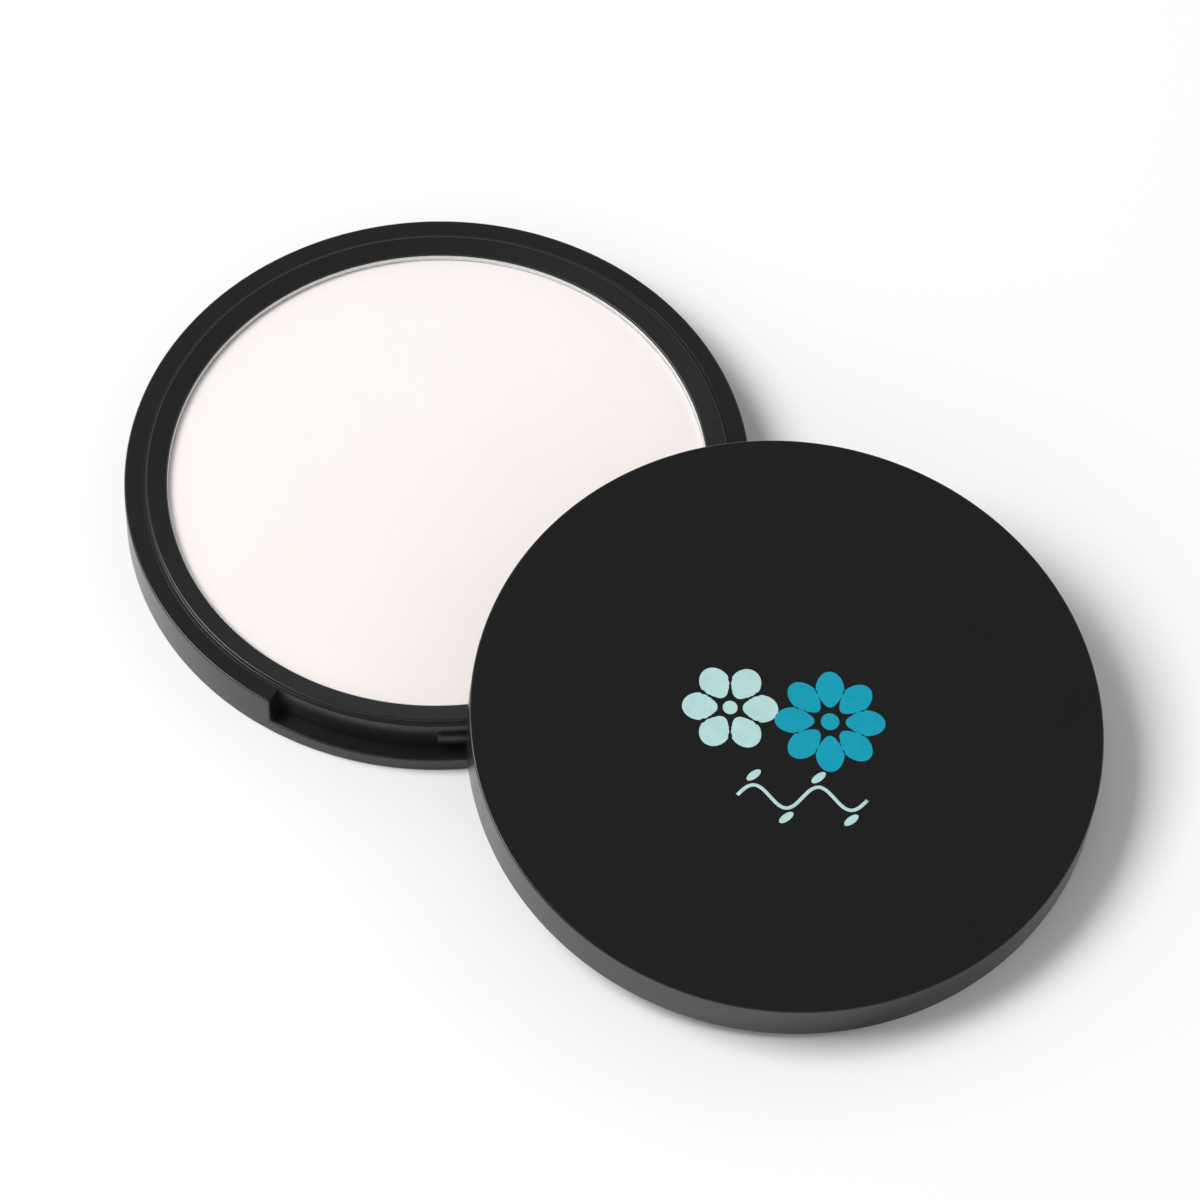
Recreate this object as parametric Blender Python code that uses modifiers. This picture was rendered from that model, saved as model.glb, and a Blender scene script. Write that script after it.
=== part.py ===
"""Powder compact with a lift-off lid: a round moulded case that holds one standard 59 mm powder pan.

The origin is the centre of the case's flat underside, +Z is up, and the finger notch faces -Y.
The lid leans beside the case: its low edge is on the table and its far edge is above the powder.
"""
import math

import bmesh
import bpy
from mathutils import Matrix, Vector

MM = 0.001

# Driving dimensions, in metres.
PAN_RADIUS = 29.5 * MM  # a standard 59 mm pan
PAN_FIT = 0.35 * MM  # round the pan, inside the collar
RIM_WIDTH = 2.25 * MM  # the collar's raised rim
SHOULDER_WIDTH = 0.47 * MM  # the collar's step outside its rim
GAP = 0.25 * MM  # between any two neighbouring pieces
CASE_WALL = 1.68 * MM
CASE_HEIGHT = 5.8 * MM  # table to the case's flat top edge
CASE_FLOOR = 1.0 * MM
RIM_STEP = 0.47 * MM  # the collar's rim above the case's top edge
RIM_DISH = 0.42 * MM  # how far the rim slopes down to the pan
COLLAR_SKIN = 0.9 * MM  # walls of the hollow underneath the collar
PAN_SHEET = 0.32 * MM
PAN_CORNER = 0.8 * MM
PAN_RIM_DROP = 0.20 * MM  # the pan's edge below the collar's inner edge
POWDER_DEPTH = 0.8 * MM  # the powder's face below the collar's inner edge
GLUE_THICKNESS = 0.25 * MM
PAN_GLUE_RADIUS = 14.0 * MM

NOTCH_HALF_ANGLE = math.radians(39.8)
NOTCH_SILL = 1.97 * MM  # the wall that is left under the notch
CATCH_HALF_ANGLE = math.radians(7.8)
CATCH_REACH = 0.55 * MM  # out from the collar's wall
CATCH_BOTTOM = 3.15 * MM
CATCH_HEIGHT = 1.35 * MM

LID_INSET = 0.2 * MM  # the lid's outline inside the case's outline
LID_PLATE = 1.5 * MM
MIRROR_EDGE_COVER = 1.2 * MM  # how far the frame's lip runs under the mirror
MIRROR_THICKNESS = 1.5 * MM
MIRROR_GLUE_THICKNESS = 0.43 * MM
MIRROR_GLUE_RADIUS = 24.9 * MM
FRAME_WALL = 1.5 * MM
FRAME_LIP = 0.8 * MM

TONGUE_WIDTH = 5.6 * MM
TONGUE_THICKNESS = 0.85 * MM
TONGUE_INSET = 0.1 * MM  # the tongue's outer face inside the lid's outline
HOOK_OVERLAP = 0.27 * MM  # how far the hook reaches under the catch
HOOK_PLAY = 0.1 * MM
HOOK_HEIGHT = 0.6 * MM
TONGUE_ROOT = 1.0 * MM  # how far the tongue runs up into the lid's wall

EDGE_ROUNDING = 0.2 * MM
SEGMENTS = 96

# How the lid leans: it slopes down towards LEAN_HEADING, and its tongue hangs outside the case.
LID_BEARING = math.radians(-50.4)  # from the case's centre to the lid's
LEAN_HEADING = math.radians(-62.2)
TONGUE_HEADING = math.radians(81.5)
TONGUE_STANDOFF = 0.4 * MM  # from the tongue to the case's wall
LEAN_GAP = 0.45 * MM  # from the plane of the lid's open edge to the collar's rim
TABLE_GAP = 0.02 * MM

# Sizes that follow from the ones above.
COLLAR_BORE = PAN_RADIUS + PAN_FIT
RIM_RADIUS = COLLAR_BORE + RIM_WIDTH
COLLAR_RADIUS = RIM_RADIUS + SHOULDER_WIDTH
CASE_BORE = COLLAR_RADIUS + GAP
CASE_RADIUS = CASE_BORE + CASE_WALL
RIM_TOP = CASE_HEIGHT + RIM_STEP
RIM_INNER_TOP = RIM_TOP - RIM_DISH
COLLAR_BOTTOM = CASE_FLOOR + GAP
GLUE_BOTTOM = CASE_FLOOR + GAP
PAN_BOTTOM = GLUE_BOTTOM + GLUE_THICKNESS + GAP
PAN_TOP = RIM_INNER_TOP - PAN_RIM_DROP
CAKE_RADIUS = PAN_RADIUS - PAN_SHEET - GAP
CAKE_BOTTOM = PAN_BOTTOM + PAN_SHEET + GAP
CAKE_TOP = RIM_INNER_TOP - POWDER_DEPTH

LID_RADIUS = CASE_RADIUS - LID_INSET
LID_BORE = RIM_RADIUS + GAP
FRAME_RADIUS = LID_BORE - GAP
FRAME_BOTTOM = RIM_STEP + GAP
MIRROR_BOTTOM = FRAME_BOTTOM + FRAME_LIP + GAP
MIRROR_TOP = MIRROR_BOTTOM + MIRROR_THICKNESS
MIRROR_RADIUS = FRAME_RADIUS - FRAME_WALL - GAP
MIRROR_GLUE_BOTTOM = MIRROR_TOP + GAP
PLATE_BOTTOM = MIRROR_GLUE_BOTTOM + MIRROR_GLUE_THICKNESS + GAP
FRAME_TOP = PLATE_BOTTOM - GAP
LID_HEIGHT = PLATE_BOTTOM + LID_PLATE
CLOSED_LID_EDGE = CASE_HEIGHT + GAP
HOOK_TOP = CATCH_BOTTOM - HOOK_PLAY - CLOSED_LID_EDGE
HOOK_RADIUS = COLLAR_RADIUS + CATCH_REACH - HOOK_OVERLAP
TONGUE_TIP = HOOK_TOP - HOOK_HEIGHT
TONGUE_HALF_ANGLE = math.asin(TONGUE_WIDTH / 2 / LID_RADIUS)


def clear_scene():
    """Start from an empty scene with one collection for the parts and one for the cutters."""
    for item in list(bpy.data.objects):
        bpy.data.objects.remove(item, do_unlink=True)
    made = []
    for name in ("powder_compact", "cutters"):
        collection = bpy.data.collections.new(name)
        bpy.context.scene.collection.children.link(collection)
        made.append(collection)
    return made


PARTS, CUTTERS = clear_scene()


def finish_material(name, colour, roughness, metallic=0.0):
    """A plain Principled material."""
    material = bpy.data.materials.new(name)
    material.use_nodes = True
    shader = material.node_tree.nodes["Principled BSDF"]
    shader.inputs["Base Color"].default_value = (*colour, 1.0)
    shader.inputs["Roughness"].default_value = roughness
    shader.inputs["Metallic"].default_value = metallic
    return material


BLACK_CASE = finish_material("black_case_plastic", (0.019, 0.019, 0.020), 0.42)
BLACK_COLLAR = finish_material("black_collar_plastic", (0.017, 0.017, 0.018), 0.40)
BLACK_LID = finish_material("black_lid_plastic", (0.015, 0.015, 0.015), 0.36)
BLACK_FRAME = finish_material("black_frame_plastic", (0.020, 0.020, 0.021), 0.50)
PAN_METAL = finish_material("pan_aluminium", (0.80, 0.80, 0.79), 0.38, 1.0)
POWDER = finish_material("pressed_powder", (0.98, 0.92, 0.90), 0.95)
MIRROR_GLASS = finish_material("mirror_glass", (0.90, 0.92, 0.92), 0.03, 1.0)
PAN_GLUE = finish_material("clear_glue", (0.75, 0.74, 0.70), 0.30)
MIRROR_TAPE = finish_material("white_foam_tape", (0.85, 0.85, 0.83), 0.80)


def turned(name, profile, material=None, parent=None):
    """A profile of (radius, height) points turned about Z, running down the outer side.

    A profile that starts and ends on the axis closes there. Any other is a ring, whose last
    point joins its first.
    """
    on_axis = profile[0][0] == 0.0
    count = len(profile)
    edges = [(i, (i + 1) % count) for i in range(count - 1 if on_axis else count)]
    mesh = bpy.data.meshes.new(name)
    mesh.from_pydata([(r, 0.0, z) for r, z in profile], edges, [])
    solid = bpy.data.objects.new(name, mesh)
    screw = solid.modifiers.new("turn", "SCREW")
    screw.steps = SEGMENTS
    screw.render_steps = SEGMENTS
    screw.use_merge_vertices = True
    screw.merge_threshold = 0.01 * MM
    place(solid, material, parent)
    return solid


def place(solid, material, parent):
    """Put a part, or a cutter when it has no material, in its collection and under its parent."""
    if material is None:
        CUTTERS.objects.link(solid)
        solid.hide_render = True
        solid.display_type = "WIRE"
    else:
        PARTS.objects.link(solid)
        solid.data.materials.append(material)
    solid.parent = parent


def soften(solid, width=EDGE_ROUNDING):
    """Round the sharp edges of a turned piece."""
    bevel = solid.modifiers.new("soft_edges", "BEVEL")
    bevel.width = width
    bevel.segments = 2
    bevel.limit_method = "ANGLE"
    bevel.angle_limit = math.radians(50)


def combine(solid, tool, operation):
    """Cut, join or keep what is shared with another solid."""
    boolean = solid.modifiers.new(operation.lower(), "BOOLEAN")
    boolean.object = tool
    boolean.operation = operation


def sector(name, half_angle, reach, bottom, top, parent=None):
    """A flat wedge about the -Y direction, from the axis out past the given reach."""
    curve = bpy.data.curves.new(name, "CURVE")
    curve.dimensions = "2D"
    curve.fill_mode = "BOTH"
    curve.extrude = (top - bottom) / 2
    spline = curve.splines.new("POLY")
    side = reach / math.cos(half_angle)
    corners = [
        (0.0, 0.0),
        (-side * math.sin(half_angle), -reach),
        (side * math.sin(half_angle), -reach),
    ]
    spline.points.add(len(corners) - 1)
    for point, (x, y) in zip(spline.points, corners):
        point.co = (x, y, 0.0, 1.0)
    spline.use_cyclic_u = True
    outline = bpy.data.objects.new(name + "_outline", curve)
    CUTTERS.objects.link(outline)
    bpy.context.view_layer.update()
    mesh = bpy.data.meshes.new_from_object(
        outline.evaluated_get(bpy.context.evaluated_depsgraph_get())
    )
    bpy.data.objects.remove(outline, do_unlink=True)
    weld_caps(mesh)
    mesh.transform(Matrix.Translation((0.0, 0.0, (top + bottom) / 2)))
    wedge = bpy.data.objects.new(name, mesh)
    place(wedge, None, parent)
    return wedge


def weld_caps(mesh):
    """Join an extruded outline's loose caps to its walls."""
    work = bmesh.new()
    work.from_mesh(mesh)
    bmesh.ops.remove_doubles(work, verts=work.verts, dist=0.01 * MM)
    bmesh.ops.recalc_face_normals(work, faces=work.faces)
    work.to_mesh(mesh)
    work.free()


def case_shell():
    """The outer tray: a floor and a round wall, cut down to a sill along the finger notch."""
    shell = turned(
        "case_shell",
        [
            (0.0, CASE_FLOOR),
            (CASE_BORE, CASE_FLOOR),
            (CASE_BORE, CASE_HEIGHT),
            (CASE_RADIUS, CASE_HEIGHT),
            (CASE_RADIUS, 0.0),
            (0.0, 0.0),
        ],
        BLACK_CASE,
    )
    soften(shell)
    notch = sector("finger_notch", NOTCH_HALF_ANGLE, 2 * CASE_RADIUS, NOTCH_SILL, 2 * CASE_HEIGHT)
    combine(shell, notch, "DIFFERENCE")
    return shell


def pan_collar():
    """The press-in ring round the pan: a dished rim that centres the lid, a shoulder and a catch."""
    groove_inner = COLLAR_BORE + COLLAR_SKIN
    groove_outer = COLLAR_RADIUS - COLLAR_SKIN
    groove_top = CASE_HEIGHT - COLLAR_SKIN
    collar = turned(
        "pan_collar",
        [
            (COLLAR_BORE, RIM_INNER_TOP),
            (RIM_RADIUS, RIM_TOP),
            (RIM_RADIUS, CASE_HEIGHT),
            (COLLAR_RADIUS, CASE_HEIGHT),
            (COLLAR_RADIUS, COLLAR_BOTTOM),
            (groove_outer, COLLAR_BOTTOM),
            (groove_outer, groove_top),
            (groove_inner, groove_top),
            (groove_inner, COLLAR_BOTTOM),
            (COLLAR_BORE, COLLAR_BOTTOM),
        ],
        BLACK_COLLAR,
    )
    catch_top = CATCH_BOTTOM + CATCH_HEIGHT
    catch_reach = COLLAR_RADIUS + CATCH_REACH
    catch_root = COLLAR_RADIUS - COLLAR_SKIN / 2
    catch = turned(
        "catch_ring",
        [
            (catch_root, catch_top),
            (catch_reach - CATCH_REACH / 2, catch_top),
            (catch_reach, catch_top - CATCH_REACH / 2),
            (catch_reach, CATCH_BOTTOM),
            (catch_root, CATCH_BOTTOM),
        ],
    )
    slice_of_ring = sector("catch_slice", CATCH_HALF_ANGLE, 2 * CASE_RADIUS, 0.0, 2 * CASE_HEIGHT)
    combine(catch, slice_of_ring, "INTERSECT")
    combine(collar, catch, "UNION")
    return collar


def pan_glue():
    """The spot of glue that holds the pan on the floor of the case."""
    return turned(
        "pan_glue",
        [
            (0.0, GLUE_BOTTOM + GLUE_THICKNESS),
            (PAN_GLUE_RADIUS, GLUE_BOTTOM + GLUE_THICKNESS),
            (PAN_GLUE_RADIUS, GLUE_BOTTOM),
            (0.0, GLUE_BOTTOM),
        ],
        PAN_GLUE,
    )


def powder_pan():
    """The pressed aluminium pan, with a rounded corner between its floor and its wall."""
    inner = PAN_RADIUS - PAN_SHEET
    inner_corner = PAN_CORNER - PAN_SHEET
    floor_top = PAN_BOTTOM + PAN_SHEET

    def corner(radius, centre_radius):
        """The quarter round from the wall down to the floor."""
        centre_height = PAN_BOTTOM + PAN_CORNER
        return [
            (centre_radius + radius * math.cos(turn), centre_height - radius * math.sin(turn))
            for turn in (math.radians(a) for a in (0, 30, 60, 90))
        ]

    outer_arc = corner(PAN_CORNER, PAN_RADIUS - PAN_CORNER)
    inner_arc = corner(inner_corner, PAN_RADIUS - PAN_CORNER)
    return turned(
        "powder_pan",
        [(0.0, floor_top)]
        + inner_arc[::-1]
        + [(inner, PAN_TOP), (PAN_RADIUS, PAN_TOP)]
        + outer_arc
        + [(0.0, PAN_BOTTOM)],
        PAN_METAL,
    )


def powder_cake():
    """The pressed powder, rounded at its foot to clear the corner of the pan."""
    return turned(
        "powder_cake",
        [
            (0.0, CAKE_TOP),
            (CAKE_RADIUS, CAKE_TOP),
            (CAKE_RADIUS, CAKE_BOTTOM + PAN_CORNER),
            (CAKE_RADIUS - PAN_CORNER, CAKE_BOTTOM),
            (0.0, CAKE_BOTTOM),
        ],
        POWDER,
    )


def leaning_lid_frame():
    """An empty at the centre of the leaning lid's open edge, +Z through the lid's top.

    The lean and the lid's distance from the case depend on each other, so they are settled
    together: each turn of the loop brings both closer.
    """
    away = Vector((math.cos(LID_BEARING), math.sin(LID_BEARING), 0.0))
    downhill = Vector((math.cos(LEAN_HEADING), math.sin(LEAN_HEADING), 0.0))
    tip_axis = Vector((0.0, 0.0, 1.0)).cross(downhill)
    turn = Matrix.Rotation(TONGUE_HEADING + math.pi / 2, 3, "Z")
    corners = [
        Vector((HOOK_RADIUS * math.sin(side), -HOOK_RADIUS * math.cos(side), height))
        for side in (-TONGUE_HALF_ANGLE, TONGUE_HALF_ANGLE)
        for height in (HOOK_TOP, TONGUE_TIP)
    ]
    rise = RIM_TOP + LEAN_GAP - TABLE_GAP
    clear_of_case = CASE_RADIUS + TONGUE_STANDOFF
    reach = CASE_RADIUS
    lean = 0.0
    for _ in range(60):
        run = reach * away.dot(downhill) + LID_RADIUS * math.cos(lean) - RIM_RADIUS
        lean = math.atan2(rise, run)
        tilt = Matrix.Rotation(lean, 3, tip_axis)
        needed = []
        for corner in corners:
            offset = (tilt @ turn @ corner).to_2d()
            along = offset.dot(away.to_2d())
            needed.append(math.sqrt(along**2 - offset.length_squared + clear_of_case**2) - along)
        reach = max(needed)
    centre = reach * away
    centre.z = TABLE_GAP + LID_RADIUS * math.sin(lean)
    seat = bpy.data.objects.new("leaning_lid", None)
    PARTS.objects.link(seat)
    seat.matrix_world = Matrix.Translation(centre) @ (tilt @ turn).to_4x4()
    return seat


def lid_shell(seat):
    """The moulded lid: a plate, a round wall that sits on the case, and the catch tongue."""
    shell = turned(
        "lid_shell",
        [
            (0.0, LID_HEIGHT),
            (LID_RADIUS, LID_HEIGHT),
            (LID_RADIUS, 0.0),
            (LID_BORE, 0.0),
            (LID_BORE, PLATE_BOTTOM),
            (0.0, PLATE_BOTTOM),
        ],
        BLACK_LID,
        seat,
    )
    soften(shell)
    outer = LID_RADIUS - TONGUE_INSET
    inner = outer - TONGUE_THICKNESS
    lead_in = HOOK_HEIGHT / 2
    tongue = turned(
        "tongue_ring",
        [
            (inner, TONGUE_ROOT),
            (outer, TONGUE_ROOT),
            (outer, TONGUE_TIP + lead_in),
            (outer - lead_in, TONGUE_TIP),
            (HOOK_RADIUS + lead_in, TONGUE_TIP),
            (HOOK_RADIUS, TONGUE_TIP + lead_in),
            (HOOK_RADIUS, HOOK_TOP),
            (inner, HOOK_TOP),
        ],
        parent=seat,
    )
    slice_of_ring = sector(
        "tongue_slice", TONGUE_HALF_ANGLE, 2 * LID_RADIUS, 2 * TONGUE_TIP, LID_HEIGHT, seat
    )
    combine(tongue, slice_of_ring, "INTERSECT")
    combine(shell, tongue, "UNION")
    return shell


def mirror_glue(seat):
    """The double-sided pad between the lid's plate and the mirror."""
    top = MIRROR_GLUE_BOTTOM + MIRROR_GLUE_THICKNESS
    return turned(
        "mirror_glue",
        [
            (0.0, top),
            (MIRROR_GLUE_RADIUS, top),
            (MIRROR_GLUE_RADIUS, MIRROR_GLUE_BOTTOM),
            (0.0, MIRROR_GLUE_BOTTOM),
        ],
        MIRROR_TAPE,
        seat,
    )


def lid_mirror(seat):
    """The round glass mirror, silvered on its back."""
    return turned(
        "lid_mirror",
        [
            (0.0, MIRROR_TOP),
            (MIRROR_RADIUS, MIRROR_TOP),
            (MIRROR_RADIUS, MIRROR_BOTTOM),
            (0.0, MIRROR_BOTTOM),
        ],
        MIRROR_GLASS,
        seat,
    )


def mirror_frame(seat):
    """The ring pressed into the lid, whose lip covers the edge of the glass."""
    lip_radius = MIRROR_RADIUS - MIRROR_EDGE_COVER
    wall_inner = MIRROR_RADIUS + GAP
    lip_top = FRAME_BOTTOM + FRAME_LIP
    return turned(
        "mirror_frame",
        [
            (wall_inner, FRAME_TOP),
            (FRAME_RADIUS, FRAME_TOP),
            (FRAME_RADIUS, FRAME_BOTTOM),
            (lip_radius, FRAME_BOTTOM),
            (lip_radius, lip_top),
            (wall_inner, lip_top),
        ],
        BLACK_FRAME,
        seat,
    )


def shade_round():
    """Settle each part's shape, then shade its round faces smooth and keep its corners crisp."""
    bpy.context.view_layer.update()
    scene_shapes = bpy.context.evaluated_depsgraph_get()
    settled = {}
    for solid in PARTS.objects:
        if solid.type == "MESH":
            settled[solid] = bpy.data.meshes.new_from_object(solid.evaluated_get(scene_shapes))
    for solid, mesh in settled.items():
        solid.modifiers.clear()
        solid.data = mesh
        mesh.shade_smooth()
        mesh.set_sharp_from_angle(angle=math.radians(30))


def build():
    """Make every piece of the compact."""
    case_shell()
    pan_collar()
    pan_glue()
    powder_pan()
    powder_cake()
    seat = leaning_lid_frame()
    lid_shell(seat)
    mirror_glue(seat)
    lid_mirror(seat)
    mirror_frame(seat)
    shade_round()


build()
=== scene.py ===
# %% [markdown]
# # A powder compact, modelled as by hand
#
# The compact is a slim round box of black moulded plastic. A case holds a thin aluminium pan of
# pressed powder, and a loose lid with a mirror inside leans beside it. Each step below makes one
# piece or one finish: first what it is and why it is made this way, then the code. The steps stand
# in a frame that is already there, the CAD nodes, which the first cell loads and measures.

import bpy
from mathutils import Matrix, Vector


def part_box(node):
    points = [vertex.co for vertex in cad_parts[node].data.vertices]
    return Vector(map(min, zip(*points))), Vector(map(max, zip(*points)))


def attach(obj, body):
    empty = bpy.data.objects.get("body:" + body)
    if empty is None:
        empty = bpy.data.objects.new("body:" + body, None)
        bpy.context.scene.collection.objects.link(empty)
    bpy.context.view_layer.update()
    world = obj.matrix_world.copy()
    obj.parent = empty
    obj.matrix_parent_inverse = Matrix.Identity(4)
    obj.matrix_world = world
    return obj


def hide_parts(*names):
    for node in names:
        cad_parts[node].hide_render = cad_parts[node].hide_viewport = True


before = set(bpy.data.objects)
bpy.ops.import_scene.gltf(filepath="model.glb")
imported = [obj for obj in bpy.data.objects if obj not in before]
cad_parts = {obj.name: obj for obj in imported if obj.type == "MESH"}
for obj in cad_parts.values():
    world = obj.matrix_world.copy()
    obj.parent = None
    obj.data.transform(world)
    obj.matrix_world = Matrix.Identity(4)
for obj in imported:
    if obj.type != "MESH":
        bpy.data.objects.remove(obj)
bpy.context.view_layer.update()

# %% [markdown]
# ## Sizes come from the frame
#
# Every outer size is read from the CAD nodes, so that each new piece lies where its node does.
# Only the thicknesses inside a node are given here, in millimetres. The case stands on the
# origin with its finger notch towards -Y, so its pieces are turned about the Z axis.

# %% Measure the case and its pan
import math

import bmesh
import bpy
from mathutils import Matrix, Quaternion, Vector

MM = 0.001
CASE_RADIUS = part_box("case_shell")[1].x
CASE_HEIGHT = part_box("case_shell")[1].z
COLLAR_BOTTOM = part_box("pan_collar")[0].z
COLLAR_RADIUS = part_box("pan_collar")[1].x
RIM_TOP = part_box("pan_collar")[1].z
CATCH_RADIUS = -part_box("pan_collar")[0].y
PAN_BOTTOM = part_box("powder_pan")[0].z
PAN_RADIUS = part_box("powder_pan")[1].x
PAN_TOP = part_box("powder_pan")[1].z
CAKE_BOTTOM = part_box("powder_cake")[0].z
CAKE_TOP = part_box("powder_cake")[1].z
NOTCH_HALF_ANGLE = math.radians(39.8)
CATCH_HALF_ANGLE = math.radians(7.8)
print("case", round(2000 * CASE_RADIUS, 2), "mm across and", round(1000 * CASE_HEIGHT, 2), "mm high")

# %% [markdown]
# ## The leaning lid has a frame of its own
#
# The lid leans, so its pieces are modelled flat and upright at the origin and moved as the last
# step. The mirror is a flat disc: the middle of its box is its centre, and its upper face gives
# the lid's own up direction. The catch tongue hangs lowest from the lid, which gives the side
# that it is on. In the lid's frame the tongue is towards -Y and the open edge is at height zero.

# %% Find the lid's frame
SAME = 0.01 * MM  # two lengths that differ by less are taken as one


def points_of(node):
    """A CAD node's corners."""
    return [corner.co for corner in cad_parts[node].data.vertices]


def lid_frame():
    """The place of the open edge's centre, with +Z through the lid's top and -Y to its tongue."""
    low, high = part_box("lid_mirror")
    centre = (low + high) / 2
    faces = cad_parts["lid_mirror"].data.polygons
    up = sum((face.area * face.normal for face in faces if face.normal.z > 0.5), Vector())
    up.normalize()
    heights = [(corner - centre).dot(up) for corner in points_of("lid_shell")]
    tip_height = min(heights)
    tip = [
        corner
        for corner, height in zip(points_of("lid_shell"), heights)
        if height < tip_height + SAME
    ]
    tip_low = Vector(min(corner[axis] for corner in tip) for axis in range(3))
    tip_high = Vector(max(corner[axis] for corner in tip) for axis in range(3))
    out = (tip_low + tip_high) / 2 - centre
    out = (out - out.dot(up) * up).normalized()
    edge = min(
        height
        for corner, height in zip(points_of("lid_shell"), heights)
        if (corner - centre).dot(out) < 0
    )
    side = (-out).cross(up)
    axes = Matrix((side, -out, up)).transposed().to_4x4()
    return Matrix.Translation(centre + edge * up) @ axes


LID_FRAME = lid_frame()


def lid_extent(node):
    """A lid node's radius, and its lowest and highest points, in the lid's frame."""
    upright = LID_FRAME.inverted()
    corners = [upright @ corner for corner in points_of(node)]
    heights = [corner.z for corner in corners]
    return max(corner.xy.length for corner in corners), min(heights), max(heights)


LID_RADIUS, TONGUE_TIP, LID_HEIGHT = lid_extent("lid_shell")
MIRROR_RADIUS, MIRROR_BOTTOM, MIRROR_TOP = lid_extent("lid_mirror")
FRAME_RADIUS, FRAME_BOTTOM, FRAME_TOP = lid_extent("mirror_frame")
PAD_RADIUS, PAD_BOTTOM, PAD_TOP = lid_extent("mirror_glue")
LEAN = math.degrees(LID_FRAME.to_3x3().col[2].angle(Vector((0, 0, 1))))
print("lid", round(2000 * LID_RADIUS, 2), "mm across,", round(1000 * LID_HEIGHT, 2), "mm high")
print("lid leans by", round(LEAN, 2), "degrees; tongue tip at", round(1000 * TONGUE_TIP, 2), "mm")

# %% [markdown]
# ## Selecting in code
#
# In the window you would click on faces. In a script the same faces are picked by where they are
# and which way they face. An operator acts on all that is selected, and the loaded nodes are
# selected after the import, so everything is deselected before a new piece is added.

# %% Select faces, edges and corners
def start_object(piece_name):
    """Name the primitive just added, put its place in its mesh, and go into edit mode."""
    piece = bpy.context.object
    piece.name = piece_name
    piece.data.name = piece_name
    bpy.ops.object.transform_apply(location=True, rotation=True, scale=True)
    bpy.ops.object.mode_set(mode="EDIT")
    bpy.ops.mesh.select_mode(type="VERT")
    bpy.ops.mesh.select_all(action="SELECT")
    return piece


def choose(piece, kind, test):
    """In edit mode, select only the vertices, edges or faces that pass a test."""
    bpy.ops.mesh.select_all(action="DESELECT")
    bpy.ops.mesh.select_mode(type=kind)
    work = bmesh.from_edit_mesh(piece.data)
    work.normal_update()
    items = {"VERT": work.verts, "EDGE": work.edges, "FACE": work.faces}[kind]
    for item in [item for item in items if test(item)]:
        item.select_set(True)
    work.select_flush_mode()
    bmesh.update_edit_mesh(piece.data)


def near(a, b):
    """True for two lengths that are the same."""
    return abs(a - b) < SAME


def off_front(point):
    """The angle from the -Y direction, either way round the Z axis."""
    return abs(math.atan2(point.x, -point.y))


# %% [markdown]
# ## Rounding and shading
#
# No moulded edge is truly sharp, and it is the small round that catches the light. An edge that
# shows gets its own width of bevel in edit mode. A bevel modifier then takes every corner that is
# left, found by its angle. Last, the piece is shaded smooth, and weighted normals keep the light
# on its flat faces even, right up to the rounds.

# %% Round edges and shade a piece
CORNER = math.radians(40)  # two faces that meet at more than this make a corner
SMOOTH_LIMIT = math.radians(35)  # shading is smooth across less than this


def round_ring(piece, radius, height, width, segments=4):
    """Bevel the ring of edges at a radius and a height."""
    choose(
        piece,
        "EDGE",
        lambda edge: all(near(v.co.xy.length, radius) and near(v.co.z, height) for v in edge.verts),
    )
    bpy.ops.mesh.bevel(offset=width, segments=segments, affect="EDGES")


def round_sharp_edges(piece, width, test, segments=4):
    """Bevel the edges that pass a test, where their two faces meet at a corner."""
    choose(piece, "EDGE", lambda edge: edge.calc_face_angle(0.0) > CORNER and test(edge))
    bpy.ops.mesh.bevel(offset=width, segments=segments, affect="EDGES")


def apply_all(piece):
    """Apply the modifiers in order."""
    for name in [modifier.name for modifier in piece.modifiers]:
        bpy.ops.object.modifier_apply(modifier=name)


def soften(piece, width, segments=3):
    """Leave edit mode and round every corner that is left."""
    bpy.ops.object.mode_set(mode="OBJECT")
    bevel = piece.modifiers.new("soft_edges", "BEVEL")
    bevel.width = width
    bevel.segments = segments
    bevel.limit_method = "ANGLE"
    bevel.angle_limit = CORNER
    apply_all(piece)


def smooth(piece):
    """Shade a finished piece smooth, with its flat faces left flat."""
    bpy.ops.object.shade_smooth_by_angle(angle=SMOOTH_LIMIT)
    weighted = piece.modifiers.new("flat_faces", "WEIGHTED_NORMAL")
    weighted.keep_sharp = True
    apply_all(piece)
    print(piece.name, "has", sum(len(face.vertices) - 2 for face in piece.data.polygons), "triangles")


# %% [markdown]
# ## Turning a profile
#
# Most of these pieces are round, so they are drawn as half a section and turned, as on a lathe.
# A plane is merged to a single vertex, that vertex is extruded from corner to corner, and the
# line is spun about Z. A piece with a feature on its front, such as the notch, is spun in two
# stretches that start at the feature's two ends, so that edges of the mesh fall exactly there.
# A piece that is only a short stretch, such as the tongue, is closed with a face at each end.

# %% Draw a section and spin it
ROUND_STEPS = 288  # the sides of a full turn
WELD = 0.002 * MM  # corners nearer than this are merged


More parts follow.
